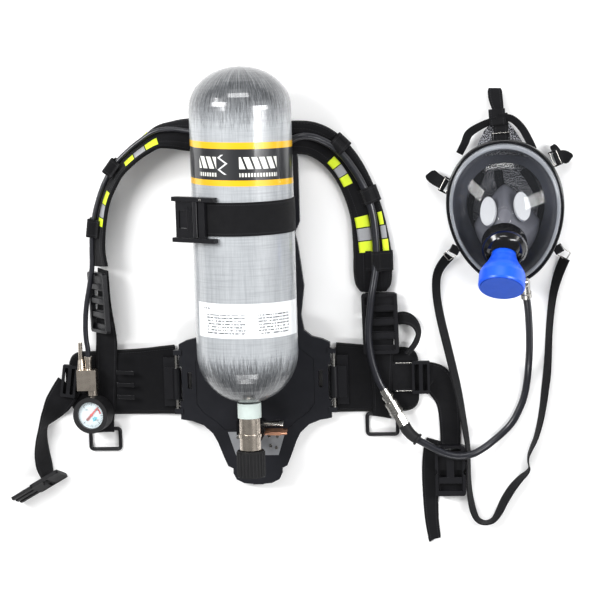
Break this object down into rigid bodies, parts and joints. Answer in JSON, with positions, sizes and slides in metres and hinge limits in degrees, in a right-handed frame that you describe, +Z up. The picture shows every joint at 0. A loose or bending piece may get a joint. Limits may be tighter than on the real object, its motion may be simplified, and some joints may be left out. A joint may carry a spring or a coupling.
{
  "type": "breathing apparatus",
  "caption": "Self-contained breathing apparatus with backplate, composite cylinder, padded harness, pressure gauge, hoses and a full-face mask with a blue demand valve.",
  "frame": {"origin": "on the floor under the backplate, level with the waist-belt slots, at the underside of the lumbar pad", "axes": "+X across the set towards the mask (longest), +Y along the cylinder from the valve to the far dome, +Z up from the floor (shortest)"},
  "size_m": [0.8997, 0.762, 0.1884],
  "materials": {
    "plate_plastic": "satin charcoal moulding",
    "pad_fabric": "black woven fabric over foam",
    "bracket_steel": "brushed sheet steel",
    "rivet_steel": "bright rivets",
    "composite_wrap": "clear-coated silver-grey fibre wrap",
    "liner_aluminium": "plain aluminium",
    "collar_plastic": "pale glossy ring",
    "nickel_brass": "nickel-plated brass",
    "stem_steel": "turned steel",
    "wheel_rubber": "ribbed black rubber",
    "black_metal": "satin black",
    "copper_fitting": "warm copper-coloured brass",
    "bright_fitting": "polished nickel",
    "webbing_fabric": "black woven webbing",
    "black_plastic": "satin black moulding",
    "gauge_rubber": "black rubber cover",
    "dial_face": "pale blue-white dial",
    "needle_paint": "red",
    "clear_window": "clear polycarbonate",
    "hose_rubber": "smooth dark grey rubber",
    "boot_rubber": "black rubber",
    "visor_clear": "clear polycarbonate",
    "frame_plastic": "glossy black",
    "seal_rubber": "dark grey soft rubber",
    "cup_rubber": "mid grey soft rubber",
    "white_rubber": "white silicone flaps",
    "blue_plastic": "bright blue moulding",
    "blue_cover": "deeper blue soft cover"
  },
  "bodies": {
    "pack": {"backplate": "plate_plastic", "lumbar_pad": "pad_fabric", "reducer_bracket": "bracket_steel", "bracket_rivets": "rivet_steel", "cylinder_shell": "composite_wrap", "cylinder_liner": "liner_aluminium", "neck_collar": "collar_plastic", "valve_body": "nickel_brass", "reducer_body": "black_metal", "auxiliary_outlet": "copper_fitting", "relief_valve": "bright_fitting", "cylinder_band": "webbing_fabric", "band_buckle": "black_metal", "shoulder_pad_left": "pad_fabric", "shoulder_pad_right": "pad_fabric", "hose_keepers": "webbing_fabric", "strap_adjusters": "black_plastic", "pull_straps": "webbing_fabric", "hinge_rods": "stem_steel", "gauge_block": "nickel_brass", "whistle": "nickel_brass", "supply_hose": "hose_rubber", "gauge_hose": "hose_rubber", "mask_hose": "hose_rubber", "coupler_socket": "bright_fitting", "coupler_plug": "bright_fitting", "hose_boot": "boot_rubber", "visor": "visor_clear", "visor_frame": "frame_plastic", "face_seal": "seal_rubber", "nose_cup": "cup_rubber", "inhale_valves": "white_rubber", "port_housing": "frame_plastic", "demand_valve": "blue_plastic", "mask_fitting": "bright_fitting", "head_harness": "webbing_fabric"},
    "handwheel": {"handwheel": "wheel_rubber", "valve_stem": "stem_steel"},
    "coupling_nut": {"coupling_nut": "black_metal"},
    "band_lever": {"band_lever": "black_plastic"},
    "gauge": {"gauge_case": "gauge_rubber", "gauge_dial": "dial_face", "gauge_lens": "clear_window"},
    "needle": {"gauge_needle": "needle_paint"},
    "coupler_sleeve": {"coupler_sleeve": "bright_fitting"},
    "pull_ring_left": {"pull_ring_left": "black_plastic"},
    "pull_ring_right": {"pull_ring_right": "black_plastic"},
    "left_wing": {"belt_pad_left": "pad_fabric", "belt_carrier_left": "black_plastic", "belt_webbing_left": "webbing_fabric", "belt_slider_left": "black_plastic", "buckle_tongue": "black_plastic"},
    "right_wing": {"belt_pad_right": "pad_fabric", "belt_carrier_right": "black_plastic", "belt_webbing_right": "webbing_fabric", "belt_slider_right": "black_plastic", "buckle_socket": "black_plastic"},
    "buckle_button": {"buckle_button": "black_plastic"},
    "demand_cover": {"demand_cover": "blue_cover"},
    "reducer_piston": {"reducer_piston": "stem_steel"}
  },
  "joints": [
    {"name": "wheel_turn", "type": "hinge", "parent": "pack", "child": "handwheel", "pos_m": [0, -0.1, 0.104], "axis": [0, 1, 0], "range_deg": [0, 720]},
    {"name": "nut_turn", "type": "hinge", "parent": "pack", "child": "coupling_nut", "pos_m": [0, -0.072, 0.07], "axis": [0, 0, 1], "continuous": true},
    {"name": "lever_open", "type": "hinge", "parent": "pack", "child": "band_lever", "pos_m": [-0.06529, 0.271, 0.16509], "axis": [0, 1, 0], "range_deg": [0, 100]},
    {"name": "gauge_swivel", "type": "hinge", "parent": "pack", "child": "gauge", "pos_m": [-0.2585, -0.0184, 0.031], "axis": [0, 1, 0], "range_deg": [-8, 25]},
    {"name": "needle_sweep", "type": "hinge", "parent": "gauge", "child": "needle", "pos_m": [-0.258, -0.047, 0.042], "axis": [-0.1564, 0, 0.9877], "range_deg": [-93, 177]},
    {"name": "sleeve_back", "type": "slide", "parent": "pack", "child": "coupler_sleeve", "axis": [-0.4772, 0.8788, 0], "range_m": [0, 0.004], "stiffness_N_per_m": 300},
    {"name": "left_ring_swing", "type": "hinge", "parent": "pack", "child": "pull_ring_left", "pos_m": [-0.246, -0.077, 0.0034], "axis": [-1, 0, 0], "range_deg": [0, 40]},
    {"name": "right_ring_swing", "type": "hinge", "parent": "pack", "child": "pull_ring_right", "pos_m": [0.1985, -0.0575, 0.0034], "axis": [-1, 0, 0], "range_deg": [0, 40]},
    {"name": "left_wing_swing", "type": "hinge", "parent": "pack", "child": "left_wing", "pos_m": [-0.125, 0, 0.019], "axis": [0, -1, 0], "range_deg": [0, 40]},
    {"name": "right_wing_swing", "type": "hinge", "parent": "pack", "child": "right_wing", "pos_m": [0.125, 0, 0.019], "axis": [0, 1, 0], "range_deg": [0, 40]},
    {"name": "button_press", "type": "slide", "parent": "right_wing", "child": "buckle_button", "axis": [0, 0, -1], "range_m": [0, 0.003], "stiffness_N_per_m": 800},
    {"name": "purge_press", "type": "slide", "parent": "pack", "child": "demand_cover", "axis": [0.0656, 0.7981, -0.599], "range_m": [0, 0.003], "stiffness_N_per_m": 600},
    {"name": "piston_lift", "type": "slide", "parent": "pack", "child": "reducer_piston", "axis": [0, 0, 1], "range_m": [0, 0.0015], "stiffness_N_per_m": 4000}
  ]
}
